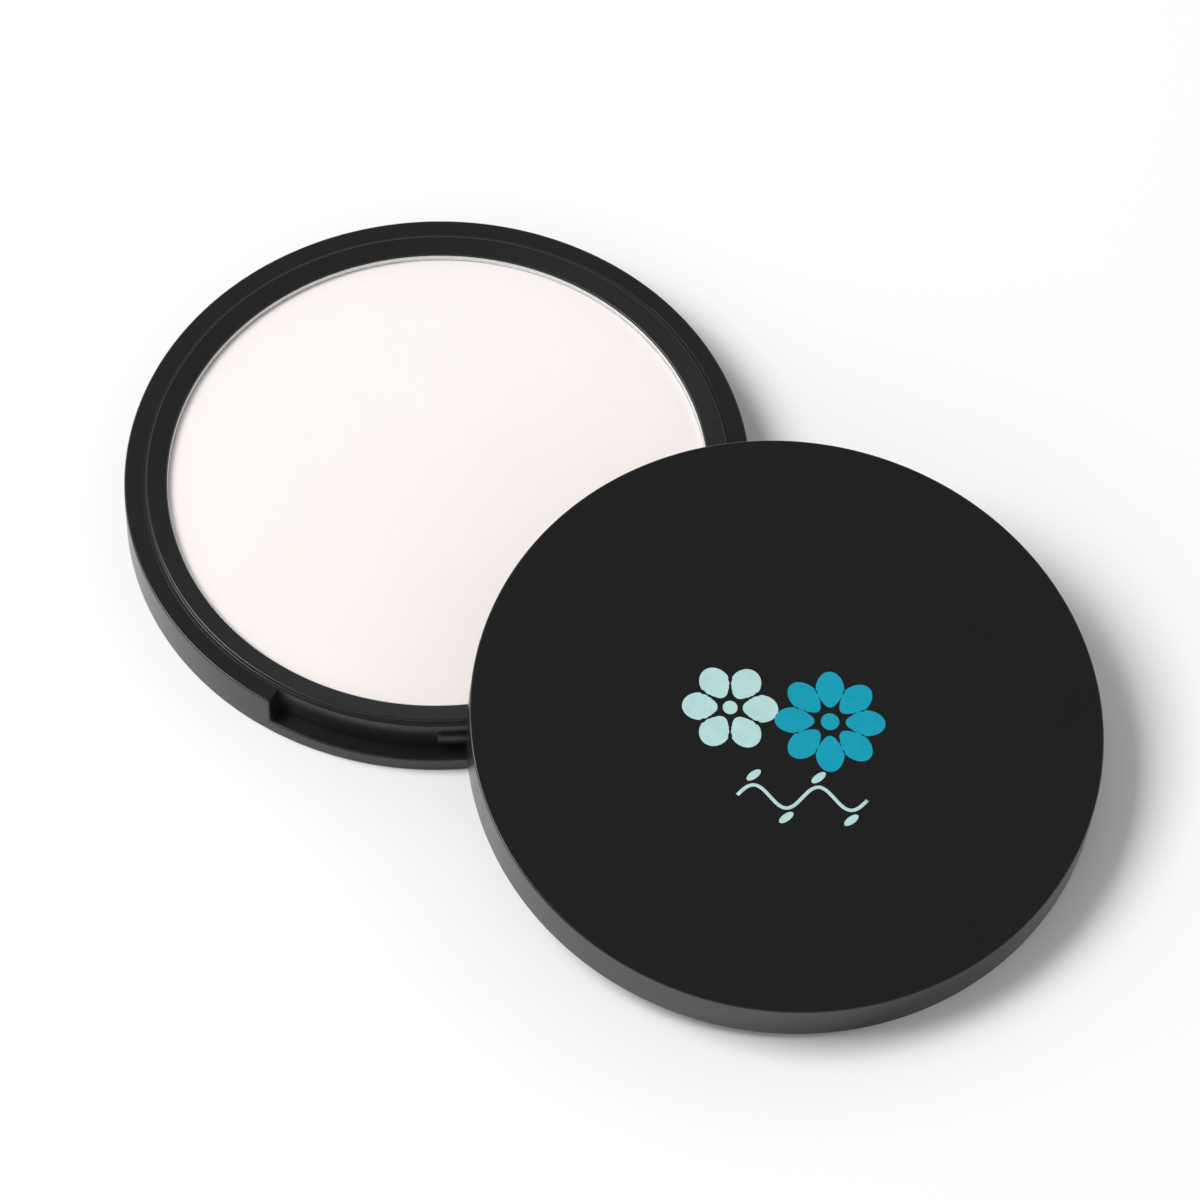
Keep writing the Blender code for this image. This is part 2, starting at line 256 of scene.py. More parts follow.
def turn(name, section, feature=0.0, whole=True):
    """Spin (radius, height) points about Z: the stretch across the front first, then the rest."""
    out = Vector((-math.sin(feature), -math.cos(feature), 0.0))
    up = Vector((0.0, 0.0, 1.0))
    points = [radius * out + height * up for radius, height in section]
    bpy.ops.object.select_all(action="DESELECT")
    bpy.ops.mesh.primitive_plane_add(size=MM, location=points[0])
    piece = start_object(name)
    bpy.ops.mesh.merge(type="CENTER")
    for here, there in zip(points, points[1:]):
        bpy.ops.mesh.extrude_vertices_move(TRANSFORM_OT_translate={"value": there - here})
    bpy.ops.mesh.select_all(action="SELECT")
    front_steps = round(ROUND_STEPS * feature / math.pi)
    stretches = [(2 * feature, front_steps)] if front_steps else []
    if whole:
        stretches.append((2 * math.pi - 2 * feature, ROUND_STEPS - front_steps))
    for angle, steps in stretches:
        bpy.ops.mesh.spin(steps=steps, angle=angle, center=(0, 0, 0), axis=(0, 0, 1))
    bpy.ops.mesh.select_all(action="SELECT")
    bpy.ops.mesh.remove_doubles(threshold=WELD)
    if not whole:
        bpy.ops.mesh.fill_holes(sides=0)
    bpy.ops.mesh.normals_make_consistent(inside=False)
    return piece


# %% [markdown]
# ## The case
#
# The real case is injection moulded in one shot: a thin floor, a round wall, and a finger notch
# where the wall stops short at a low sill. It could be cut from a full ring with a boolean, but
# here it is grown instead. The section is drawn only as high as the sill and turned, and then the
# faces on top of the sill are extruded up everywhere except across the notch. That leaves clean
# four-sided faces, which round well.

# %% Model the case
GAP = 0.25 * MM  # between most neighbours in the frame
PRESS_FIT = 0.015 * MM  # all that shows between two pressed-in pieces
CASE_FLOOR = COLLAR_BOTTOM - GAP
CASE_BORE = COLLAR_RADIUS + PRESS_FIT
NOTCH_SILL = 1.97 * MM
MOULDED_EDGE = 0.2 * MM  # the round on the outside of a moulding
CRISP_EDGE = 0.03 * MM  # the round where two pieces meet

case = turn(
    "case_moulding",
    [
        (0.0, CASE_FLOOR),
        (CASE_BORE, CASE_FLOOR),
        (CASE_BORE, NOTCH_SILL),
        (CASE_RADIUS, NOTCH_SILL),
        (CASE_RADIUS, 0.0),
        (0.0, 0.0),
    ],
    feature=NOTCH_HALF_ANGLE,
)
choose(
    case,
    "FACE",
    lambda face: face.normal.z > 0.9
    and near(face.calc_center_median().z, NOTCH_SILL)
    and off_front(face.calc_center_median()) > NOTCH_HALF_ANGLE,
)
bpy.ops.mesh.extrude_region_move(TRANSFORM_OT_translate={"value": (0, 0, CASE_HEIGHT - NOTCH_SILL)})
round_sharp_edges(
    case,
    MOULDED_EDGE,
    lambda edge: max(v.co.xy.length for v in edge.verts) > CASE_BORE + CRISP_EDGE,
)
soften(case, CRISP_EDGE)
smooth(case)
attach(case, "case")
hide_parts("case_shell")

# %% [markdown]
# ## The pan collar
#
# A separate black ring is pressed into the case. It holds the pan, its raised rim centres the
# closed lid, and a short bar on its front is the catch. The rim's top is dished, falling towards
# the powder. The ring is hollow underneath, because a thick ring of plastic would sink as it
# cools. The catch is pulled out of the ring's own wall: its faces are extruded and scaled away
# from the axis, and its upper edge is cut off so that the lid's hook can ride over it. The ring's
# outer corner stays crisp, so that its shoulder and the top of the case read as one surface, and
# the rim's outer edge gets the widest round, which catches the light as a fine bright line.

# %% Model the collar and its catch
PAN_FIT = 0.35 * MM  # round the pan in the frame
RIM_WIDTH = 2.25 * MM
PAN_RIM_DROP = 0.20 * MM  # the pan's edge below the collar's inner edge
COLLAR_SKIN = 0.9 * MM
RIM_ROUND = 0.22 * MM
COLLAR_EDGE = 0.1 * MM
CATCH_BOTTOM = 3.15 * MM
CATCH_HEIGHT = 1.35 * MM
HOOK_OVERLAP = 0.27 * MM  # how far the lid's hook reaches under the catch

COLLAR_BORE = PAN_RADIUS + PAN_FIT
RIM_RADIUS = COLLAR_BORE + RIM_WIDTH
RIM_INNER_TOP = PAN_TOP + PAN_RIM_DROP
CATCH_TOP = CATCH_BOTTOM + CATCH_HEIGHT
groove_inner = COLLAR_BORE + COLLAR_SKIN
groove_outer = COLLAR_RADIUS - COLLAR_SKIN
groove_top = CASE_HEIGHT - COLLAR_SKIN
collar = turn(
    "collar_moulding",
    [
        (COLLAR_BORE, RIM_INNER_TOP),
        (RIM_RADIUS, RIM_TOP),
        (RIM_RADIUS, CASE_HEIGHT),
        (COLLAR_RADIUS, CASE_HEIGHT),
        (COLLAR_RADIUS, CATCH_TOP),
        (COLLAR_RADIUS, CATCH_BOTTOM),
        (COLLAR_RADIUS, COLLAR_BOTTOM),
        (groove_outer, COLLAR_BOTTOM),
        (groove_outer, groove_top),
        (groove_inner, groove_top),
        (groove_inner, COLLAR_BOTTOM),
        (COLLAR_BORE, COLLAR_BOTTOM),
        (COLLAR_BORE, RIM_INNER_TOP),
    ],
    feature=CATCH_HALF_ANGLE,
)


def on_catch_face(face):
    """The wall's faces that the catch grows from."""
    middle = face.calc_center_median()
    return (
        off_front(middle) < CATCH_HALF_ANGLE
        and CATCH_BOTTOM < middle.z < CATCH_TOP
        and middle.xy.length > groove_outer + COLLAR_SKIN / 2
    )


choose(collar, "FACE", on_catch_face)
bpy.ops.mesh.extrude_region_move(TRANSFORM_OT_translate={"value": (0, 0, 0)})
growth = CATCH_RADIUS / COLLAR_RADIUS
bpy.ops.transform.resize(value=(growth, growth, 1.0), center_override=(0.0, 0.0, 0.0))
round_ring(collar, CATCH_RADIUS, CATCH_TOP, HOOK_OVERLAP, segments=1)
round_ring(collar, RIM_RADIUS, RIM_TOP, RIM_ROUND, segments=5)
round_sharp_edges(
    collar,
    COLLAR_EDGE,
    lambda edge: not all(near(v.co.xy.length, COLLAR_RADIUS) for v in edge.verts),
    segments=3,
)
soften(collar, CRISP_EDGE)
smooth(collar)
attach(collar, "case")
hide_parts("pan_collar")

# %% [markdown]
# ## The powder pan
#
# The pan is drawn from thin aluminium sheet, so its wall and floor are one skin of the same
# thickness with a round corner between them. The section is turned with sharp corners and the
# two corner rings are bevelled: the inner radius is the outer one less the sheet. The cut edge at
# the top is broken lightly. It ends a little below the rim, so that from the side of the notch
# only the far wall of the pan is seen, as a thin light band.

# %% Model the pan
PAN_SHEET = 0.14 * MM
PAN_CORNER = 0.8 * MM
PAN_EDGE = 0.04 * MM
pan_outer = COLLAR_BORE - PRESS_FIT
pan_inner = pan_outer - PAN_SHEET
pan_floor = PAN_BOTTOM + PAN_SHEET

pan = turn(
    "drawn_pan",
    [
        (0.0, pan_floor),
        (pan_inner, pan_floor),
        (pan_inner, PAN_TOP),
        (pan_outer, PAN_TOP),
        (pan_outer, PAN_BOTTOM),
        (0.0, PAN_BOTTOM),
    ],
)
round_ring(pan, pan_inner, pan_floor, PAN_CORNER - PAN_SHEET, segments=6)
round_ring(pan, pan_outer, PAN_BOTTOM, PAN_CORNER, segments=8)
soften(pan, PAN_EDGE)
smooth(pan)
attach(pan, "case")
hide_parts("powder_pan")

# %% [markdown]
# ## The pressed powder
#
# The powder is pressed into the pan by a slightly hollow die through a sheet of fine cloth. It
# fills the pan to its wall, its top edge is a little soft, and its face rises a few hundredths of
# a millimetre towards the middle. The crown is drawn in the section as a parabola, so it is real
# shape and not only shading, and the rings of edges that it leaves carry the curve smoothly.

# %% Model the powder
CAKE_RADIUS = pan_inner - PRESS_FIT
CROWN = 0.05 * MM
CAKE_EDGE = 0.06 * MM
RING_SHARES = (0.2, 0.4, 0.6, 0.8, 0.92, 1.0)  # of the radius, closest where the face ends
crown_rings = [(CAKE_RADIUS * share, CAKE_TOP - CROWN * share**2) for share in RING_SHARES]

cake = turn(
    "powder_fill",
    [
        (0.0, CAKE_TOP),
        *crown_rings,
        (CAKE_RADIUS, CAKE_BOTTOM + PAN_CORNER),
        (CAKE_RADIUS - PAN_CORNER, CAKE_BOTTOM),
        (0.0, CAKE_BOTTOM),
    ],
)
round_ring(cake, CAKE_RADIUS, CAKE_TOP - CROWN, CAKE_EDGE)
bpy.ops.object.mode_set(mode="OBJECT")
smooth(cake)
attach(cake, "case")
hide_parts("powder_cake")

# %% [markdown]
# ## The spot of glue
#
# One flat spot of clear glue holds the pan on the floor of the case. Nobody sees it, but it is a
# real piece, so it gets a rounded edge and the slightly uneven outline of a drop pressed flat.
# The outline is pushed in and out by two slow waves, one vertex of the rim at a time.

# %% Model the glue
GLUE_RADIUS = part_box("pan_glue")[1].x
GLUE_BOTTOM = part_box("pan_glue")[0].z
GLUE_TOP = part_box("pan_glue")[1].z
GLUE_EDGE = 0.11 * MM
GLUE_FLAT = 0.9 * GLUE_RADIUS  # a ring that keeps the faces inside it flat
GLUE_SPREAD = 0.97  # of the radius, before the waves
WIDE_WAVE = 0.015  # three round the drop, as a share of the radius
TIGHT_WAVE = 0.01  # seven round the drop

glue = turn(
    "glue_spot",
    [
        (0.0, GLUE_TOP),
        (GLUE_FLAT, GLUE_TOP),
        (GLUE_RADIUS, GLUE_TOP),
        (GLUE_RADIUS, GLUE_BOTTOM),
        (GLUE_FLAT, GLUE_BOTTOM),
        (0.0, GLUE_BOTTOM),
    ],
)
soften(glue, GLUE_EDGE)
bpy.ops.object.mode_set(mode="EDIT")
work = bmesh.from_edit_mesh(glue.data)
for corner in work.verts:
    if corner.co.xy.length > (GLUE_FLAT + GLUE_RADIUS) / 2:
        heading = math.atan2(corner.co.y, corner.co.x)
        waves = WIDE_WAVE * math.sin(3 * heading) + TIGHT_WAVE * math.sin(7 * heading + 1.0)
        corner.co.xy = corner.co.xy * (GLUE_SPREAD + waves)
bmesh.update_edit_mesh(glue.data)
bpy.ops.object.mode_set(mode="OBJECT")
smooth(glue)
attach(glue, "case")
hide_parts("pan_glue")

# %% [markdown]
# ## The lid
#
# The lid is one moulding too: a flat plate, a round wall that stands on the case's edge, and a
# springy tongue. The shell is a plain turned shape, so it is modelled first, on its own, with the
# same rounded outer edges as the case. The wall is as thick as the mirror's frame leaves room for.

# %% Turn the lid's shell
LID_BORE = FRAME_RADIUS + GAP
PLATE_BOTTOM = FRAME_TOP + GAP

lid = turn(
    "lid_moulding",
    [
        (0.0, LID_HEIGHT),
        (LID_RADIUS, LID_HEIGHT),
        (LID_RADIUS, 0.0),
        (LID_BORE, 0.0),
        (LID_BORE, PLATE_BOTTOM),
        (0.0, PLATE_BOTTOM),
    ],
)
soften(lid, MOULDED_EDGE, segments=4)
print("lid wall", round(1000 * (LID_RADIUS - LID_BORE), 2), "mm thick")

# %% [markdown]
# ## The lid's tongue
#
# The tongue hangs from the lid's wall and ends in a small hook, which snaps under the catch. It
# follows the wall's curve, so it is a short stretch of a second turned section: a straight strip
# with the hook at its foot. The hook's two lower corners are cut off at an angle, which lets it
# slide over the catch as the lid is pressed down.

# %% Turn the tongue
TONGUE_WIDTH = 5.6 * MM
TONGUE_THICKNESS = 0.85 * MM
TONGUE_INSET = 0.1 * MM  # the tongue's outer face inside the lid's outline
TONGUE_ROOT = 1.0 * MM  # how far the tongue runs up into the lid's wall
TONGUE_EDGE = 0.08 * MM
HOOK_HEIGHT = 0.6 * MM
LEAD_IN = HOOK_HEIGHT / 2  # the size of the cut corners

TONGUE_OUTER = LID_RADIUS - TONGUE_INSET
TONGUE_INNER = TONGUE_OUTER - TONGUE_THICKNESS
TONGUE_HALF_ANGLE = math.asin(TONGUE_WIDTH / 2 / LID_RADIUS)
HOOK_TOP = TONGUE_TIP + HOOK_HEIGHT
HOOK_RADIUS = CATCH_RADIUS - HOOK_OVERLAP

tongue = turn(
    "tongue",
    [
        (TONGUE_INNER, TONGUE_ROOT),
        (TONGUE_OUTER, TONGUE_ROOT),
        (TONGUE_OUTER, TONGUE_TIP + LEAD_IN),
        (TONGUE_OUTER - LEAD_IN, TONGUE_TIP),
        (HOOK_RADIUS + LEAD_IN, TONGUE_TIP),
        (HOOK_RADIUS, TONGUE_TIP + LEAD_IN),
        (HOOK_RADIUS, HOOK_TOP),
        (TONGUE_INNER, HOOK_TOP),
        (TONGUE_INNER, TONGUE_ROOT),
    ],
    feature=TONGUE_HALF_ANGLE,
    whole=False,
)
soften(tongue, TONGUE_EDGE)
print("tongue", round(1000 * TONGUE_WIDTH, 2), "mm wide, hook", round(1000 * HOOK_HEIGHT, 2), "mm high")

# %% [markdown]
# ## One solid, leaned into place
#
# The shell and the tongue are one moulding, so a boolean union makes them one solid, and the
# tongue's own object is removed. Only then is the lid leaned. Its object is given the lid's frame
# and the transform is applied, which leaves the object at the origin and its place in its mesh.

# %% Join the lid and lean it
def use_piece(piece):
    """Make one finished object the active and only selected one."""
    bpy.ops.object.select_all(action="DESELECT")
    piece.select_set(True)
    bpy.context.view_layer.objects.active = piece


def lean(piece):
    """Move a flat, upright lid piece to where the lid leans, with its place in its mesh."""
    use_piece(piece)
    piece.matrix_world = LID_FRAME
    bpy.ops.object.transform_apply(location=True, rotation=True, scale=True)


use_piece(lid)
union = lid.modifiers.new("tongue", "BOOLEAN")
union.object = tongue
union.operation = "UNION"
apply_all(lid)
bpy.data.objects.remove(tongue)
smooth(lid)
lean(lid)
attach(lid, "lid")
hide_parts("lid_shell")

# %% [markdown]
# ## The mirror
#
# Inside the lid sits a round glass mirror. A disc is a cylinder already, so it starts as one, at
# its size and place in the lid's frame. The edge of a cut glass is ground at an angle on both
# sides, so it gets two flat chamfers instead of a round.

# %% Model the mirror
GROUND_EDGE = 0.18 * MM

bpy.ops.object.select_all(action="DESELECT")
bpy.ops.mesh.primitive_cylinder_add(
    vertices=ROUND_STEPS,
    radius=MIRROR_RADIUS,
    depth=MIRROR_TOP - MIRROR_BOTTOM,
    location=(0.0, 0.0, (MIRROR_TOP + MIRROR_BOTTOM) / 2),
)
mirror = start_object("mirror_disc")
soften(mirror, GROUND_EDGE, segments=1)
smooth(mirror)
lean(mirror)
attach(mirror, "lid")
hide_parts("lid_mirror")

# %% [markdown]
# ## The foam pad
#
# A disc of double-sided foam tape holds the mirror to the lid. It is cut from sheet, so its edge
# gets only a small round. A ring of edges just inside the rim keeps its faces flat.

# %% Model the foam pad
FOAM_EDGE = 0.12 * MM
PAD_FLAT = 0.97 * PAD_RADIUS

pad = turn(
    "foam_pad",
    [
        (0.0, PAD_TOP),
        (PAD_FLAT, PAD_TOP),
        (PAD_RADIUS, PAD_TOP),
        (PAD_RADIUS, PAD_BOTTOM),
        (PAD_FLAT, PAD_BOTTOM),
        (0.0, PAD_BOTTOM),
    ],
)
soften(pad, FOAM_EDGE)
smooth(pad)
lean(pad)
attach(pad, "lid")
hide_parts("mirror_glue")

# %% [markdown]
# ## The mirror's frame
#
# A ring is pressed into the lid to hide the rough edge of the glass. It is an L in section: a wall
# round the mirror, and a lip that covers its edge. The lip ends in a wide round that leads the
# eye to the glass.

# %% Model the mirror's frame
EDGE_COVER = 1.2 * MM  # how far the lip runs over the mirror
LIP_ROUND = 0.5 * MM
FRAME_EDGE = 0.12 * MM
FRAME_LIP_TOP = MIRROR_BOTTOM - GAP
LIP_RADIUS = MIRROR_RADIUS - EDGE_COVER
WALL_INNER = MIRROR_RADIUS + GAP

frame_ring = turn(
    "frame_moulding",
    [
        (WALL_INNER, FRAME_TOP),
        (FRAME_RADIUS, FRAME_TOP),
        (FRAME_RADIUS, FRAME_BOTTOM),
        (LIP_RADIUS, FRAME_BOTTOM),
        (LIP_RADIUS, FRAME_LIP_TOP),
        (WALL_INNER, FRAME_LIP_TOP),
        (WALL_INNER, FRAME_TOP),
    ],
)
round_ring(frame_ring, LIP_RADIUS, FRAME_BOTTOM, LIP_ROUND, segments=6)
soften(frame_ring, FRAME_EDGE)
smooth(frame_ring)
lean(frame_ring)
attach(frame_ring, "lid")
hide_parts("mirror_frame")

# %% [markdown]
# ## The printed motif
#
# The lid carries a small print in two colours of ink: a pale blossom, a larger teal one, and a
# thin stem with leaves under them. Screen-printed ink has a real thickness of a few hundredths of
# a millimetre, so the motif is thin solids and not a painted texture. One petal is a circle that is
# stretched and narrowed at its foot. It is duplicated and turned round the blossom's heart, and
# the whole outline is extruded at the end. The print's own frame has its x axis to the right as
# the motif is read and its y axis up, towards the tongue.

# %% Model the blossoms
INK_DEPTH = 0.03 * MM
INK_SUNK = 0.004 * MM  # below the lid's face, so that no light gets under the print
CLEAR_OF_HEART = 1.7  # where a petal starts, as a multiple of the heart's radius
NARROWING = 0.9  # taken again from each smaller share of a petal's inner half
PRINT_FRAME = (
    LID_FRAME
    @ Matrix.Translation((0.0, 0.0, LID_HEIGHT - INK_SUNK))
    @ Matrix.Rotation(math.pi, 4, "Z")
)


def blossom(name, heart, petals, reach, petal_width, heart_radius):
    """Petals round a heart, as thin raised ink in the print's frame."""
    bpy.ops.object.select_all(action="DESELECT")
    inner = CLEAR_OF_HEART * heart_radius
    middle = (reach + inner) / 2
    bpy.ops.mesh.primitive_circle_add(
        vertices=48, radius=MM, fill_type="NGON", location=(middle, 0.0, 0.0)
    )
    piece = start_object(name)
    stretch = ((reach - inner) / 2 / MM, petal_width / 2 / MM, 1.0)
    bpy.ops.transform.resize(value=stretch, center_override=(middle, 0.0, 0.0))
    for share in (0.9, 0.6, 0.3, 0.0):
        limit = inner + share * (middle - inner)
        choose(piece, "VERT", lambda v: v.co.x < limit)
        bpy.ops.transform.resize(value=(1.0, NARROWING, 1.0), center_override=(middle, 0.0, 0.0))
    bpy.ops.mesh.select_all(action="SELECT")
    for _ in range(petals - 1):
        bpy.ops.mesh.duplicate()
        bpy.ops.transform.rotate(
            value=2 * math.pi / petals, orient_axis="Z", center_override=(0.0, 0.0, 0.0)
        )
    bpy.ops.mesh.primitive_circle_add(
        vertices=36, radius=heart_radius, fill_type="NGON", location=(0.0, 0.0, 0.0)
    )
    bpy.ops.mesh.select_all(action="SELECT")
    bpy.ops.transform.translate(value=(heart[0], heart[1], 0.0))
    bpy.ops.mesh.extrude_region_move(TRANSFORM_OT_translate={"value": (0, 0, INK_DEPTH)})
    bpy.ops.mesh.select_all(action="SELECT")
    bpy.ops.mesh.normals_make_consistent(inside=False)
    bpy.ops.object.mode_set(mode="OBJECT")
    return piece


def print_on_lid(piece):
    """Move a flat piece of the print to the lid's top face."""
    use_piece(piece)
    piece.matrix_world = PRINT_FRAME
    bpy.ops.object.transform_apply(location=True, rotation=True, scale=True)
    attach(piece, "lid")
    print(piece.name, "has", len(piece.data.polygons), "faces")


pale_blossom = blossom(
    "print_pale_blossom",
    heart=(-6.2 * MM, 1.4 * MM),
    petals=6,
    reach=5.2 * MM,
    petal_width=3.3 * MM,
    heart_radius=0.8 * MM,
)
print_on_lid(pale_blossom)
teal_blossom = blossom(
    "print_teal_blossom",
    heart=(4.6 * MM, 0.2 * MM),
    petals=8,
    reach=6.0 * MM,
    petal_width=3.1 * MM,
    heart_radius=1.0 * MM,
)
print_on_lid(teal_blossom)

# %% [markdown]
# ## The printed stem
#
# The stem is one fine waving stroke, so it starts as a NURBS path with a round section, which
# Blender sweeps for us. Its points follow a sine wave. It is made a mesh before anything else is
# done to it, and is then pressed flat, until it stands about as high as the rest of the ink.

# %% Model the stem
STEM_START = Vector((-5.4, -9.0, 0.0)) * MM
STEM_LENGTH = 14.0 * MM
STEM_WAVES = 2
STEM_SWING = 1.5 * MM
STEM_WIDTH = 0.42 * MM
STEM_THICKNESS = 1.6 * INK_DEPTH  # half of it lies below the middle of the stroke
STEM_WELD = 0.001 * MM  # corners of the swept stroke nearer than this are merged

bpy.ops.object.select_all(action="DESELECT")
bpy.ops.curve.primitive_nurbs_path_add(radius=1.0, location=(0.0, 0.0, 0.0))
stem = bpy.context.object
stem.name = "print_pale_stem"
bpy.ops.object.mode_set(mode="EDIT")
bpy.ops.curve.select_all(action="SELECT")
bpy.ops.curve.subdivide(number_cuts=3)
bpy.ops.object.mode_set(mode="OBJECT")
stem_points = stem.data.splines[0].points
for number, point in enumerate(stem_points):
    share = number / (len(stem_points) - 1)
    swing = STEM_SWING * math.sin(2 * math.pi * STEM_WAVES * share)
    point.co = (*(STEM_START + Vector((share * STEM_LENGTH, swing, 0.0))), 1.0)
stem.data.resolution_u = 8
stem.data.bevel_depth = STEM_WIDTH / 2
stem.data.bevel_resolution = 3
stem.data.use_fill_caps = True
bpy.ops.object.convert(target="MESH")
bpy.ops.object.mode_set(mode="EDIT")
bpy.ops.mesh.select_mode(type="VERT")
bpy.ops.mesh.select_all(action="SELECT")
bpy.ops.mesh.remove_doubles(threshold=STEM_WELD)
bpy.ops.transform.resize(value=(1.0, 1.0, STEM_THICKNESS / STEM_WIDTH), center_override=(0, 0, 0))
bpy.ops.mesh.normals_make_consistent(inside=False)
bpy.ops.object.mode_set(mode="OBJECT")
bpy.ops.object.shade_smooth()
print_on_lid(stem)

# %% [markdown]
# ## The printed leaves
#
# A leaf is a circle stretched to an oval and turned. One stands outside each bend of the stem. The
# first leaf is a pattern that stays at the origin: it is duplicated and moved for each bend, on
# the one side and the other in turn, and deleted at the end. All leaves get their depth together.

# %% Model the leaves
LEAF_LENGTH = 1.9 * MM
LEAF_WIDTH = 0.85 * MM
LEAF_TURN = math.radians(-40)
BEND_SHARE = 0.8  # a stroke bends a little inside its points, at about this share of their swing
LEAF_CLEARANCE = 1.25 * MM  # from the bend of the stem to the leaf's middle


def is_pattern_leaf(face):
    """True for the leaf at the origin."""
    return face.calc_center_median().length < LEAF_LENGTH


bpy.ops.object.select_all(action="DESELECT")
bpy.ops.mesh.primitive_circle_add(
    vertices=32, radius=LEAF_LENGTH / 2, fill_type="NGON", location=(0.0, 0.0, 0.0)
)
leaves = start_object("print_pale_leaves")
bpy.ops.transform.resize(value=(1.0, LEAF_WIDTH / LEAF_LENGTH, 1.0), center_override=(0.0, 0.0, 0.0))
bpy.ops.transform.rotate(value=LEAF_TURN, orient_axis="Z", center_override=(0.0, 0.0, 0.0))
bends = 2 * STEM_WAVES
for bend in range(bends):
    side = 1 if bend % 2 == 0 else -1
    along = (bend + 0.5) / bends * STEM_LENGTH
    out = Vector((along, side * (BEND_SHARE * STEM_SWING + LEAF_CLEARANCE), 0.0))
    choose(leaves, "FACE", is_pattern_leaf)
    bpy.ops.mesh.duplicate()
    bpy.ops.transform.translate(value=STEM_START + out)
choose(leaves, "FACE", is_pattern_leaf)
bpy.ops.mesh.delete(type="FACE")
bpy.ops.mesh.select_all(action="SELECT")
bpy.ops.mesh.extrude_region_move(TRANSFORM_OT_translate={"value": (0, 0, INK_DEPTH)})
bpy.ops.mesh.select_all(action="SELECT")
bpy.ops.mesh.normals_make_consistent(inside=False)
bpy.ops.object.mode_set(mode="OBJECT")
print_on_lid(leaves)

# %% [markdown]
# ## A plain finish
#
# Every finish is a Principled shader, which holds colour, gloss and metal in one node. It starts
# plain, with one value for each, and a piece takes it as its only material.

# %% Start a finish
def new_finish(name, colour, roughness, metallic=0.0):
    """A Principled material with a plain start."""
    material = bpy.data.materials.new(name)
    material.use_nodes = True
    shader = material.node_tree.nodes["Principled BSDF"]
    shader.inputs["Base Color"].default_value = (*colour, 1.0)
    shader.inputs["Roughness"].default_value = roughness
    shader.inputs["Metallic"].default_value = metallic
    return material


def wear_finish(piece, material):
    """Give a piece its finish."""
    piece.data.materials.clear()
    piece.data.materials.append(material)
    print(piece.name, "wears", material.name)


# %% [markdown]
# ## Noise of a real size
#
# No real surface is the same all over, so noise is added where the real one varies. The noise
# reads Object coordinates. They are the same as real places here, because each piece's object is
# at the origin, so a grain's size can be given in millimetres. Nearly all of a noise's values lie
# in the middle of its range, so that middle is spread between the two values that are wanted.

# %% Add noise to a finish
NOISE_LOW = 0.3
NOISE_HIGH = 0.7


def add_noise(material, size, detail=3.0, stretch=(1.0, 1.0, 1.0)):
    """Noise with features of about this size."""
    nodes, links = material.node_tree.nodes, material.node_tree.links
    coordinates = nodes.new("ShaderNodeTexCoord")
    mapping = nodes.new("ShaderNodeMapping")
    mapping.inputs["Scale"].default_value = stretch
    noise = nodes.new("ShaderNodeTexNoise")
    noise.inputs["Scale"].default_value = 1.0 / size
    noise.inputs["Detail"].default_value = detail
    links.new(coordinates.outputs["Object"], mapping.inputs["Vector"])
    links.new(mapping.outputs["Vector"], noise.inputs["Vector"])
    return noise.outputs["Fac"]


def spread(material, value, low, high):
    """The middle of a noise's range, spread from low to high."""
    nodes, links = material.node_tree.nodes, material.node_tree.links
    ramp = nodes.new("ShaderNodeMapRange")
    ramp.inputs["From Min"].default_value = NOISE_LOW
    ramp.inputs["From Max"].default_value = NOISE_HIGH
    ramp.inputs["To Min"].default_value = low
    ramp.inputs["To Max"].default_value = high
    links.new(value, ramp.inputs["Value"])
    return ramp.outputs["Result"]


# %% [markdown]
# ## Three uses of a noise
#
# The same noise can drive the gloss, the colour or the relief of a finish. Relief is a bump, which
# tilts the shading without moving the surface, so it suits only what is much finer than an edge.
# A second relief is chained behind the first, so that both are seen.

# %% Let a noise vary a finish
def vary_roughness(material, value, low, high):
    """Roughness that wanders between two values."""
    shader = material.node_tree.nodes["Principled BSDF"]
    material.node_tree.links.new(spread(material, value, low, high), shader.inputs["Roughness"])


def vary_colour(material, value, dark, light):
    """A base colour that wanders between two colours."""
    nodes, links = material.node_tree.nodes, material.node_tree.links
    mix = nodes.new("ShaderNodeMix")
    mix.data_type = "RGBA"
    mix.inputs["A"].default_value = (*dark, 1.0)
    mix.inputs["B"].default_value = (*light, 1.0)
    links.new(spread(material, value, 0.0, 1.0), mix.inputs["Factor"])
    links.new(mix.outputs["Result"], nodes["Principled BSDF"].inputs["Base Color"])


def emboss(material, value, depth):
    """Relief of this depth, on top of any that is already there."""
    nodes, links = material.node_tree.nodes, material.node_tree.links
    normal = nodes["Principled BSDF"].inputs["Normal"]
    bump = nodes.new("ShaderNodeBump")
    bump.inputs["Distance"].default_value = depth
    links.new(value, bump.inputs["Height"])
    if normal.is_linked:
        links.new(normal.links[0].from_socket, bump.inputs["Normal"])
    links.new(bump.outputs["Normal"], normal)


# %% [markdown]
# ## Black moulded plastic
#
# The case, the collar and the lid are black ABS from spark-eroded moulds. Such a mould leaves a
# very fine even grain, a tenth of a millimetre across and a few thousandths deep, which turns
# gloss into satin and shifts the grey a little. The lid's mould is polished a little finer, and
# the mirror's frame comes from a coarser, matt one. On top of the grain, slow patches show how
# the plastic flowed, and they change only the gloss.

# %% Make the black plastics
PLASTIC_SHINE = 0.42
FLOW_PATCH = 9.0 * MM
MOULD_GRAIN = 0.12 * MM
GREY_SHIFT = 0.15  # of the grey, either way
BLUE_TINT = 1.03  # blue over grey in the plain start, which the grain then replaces


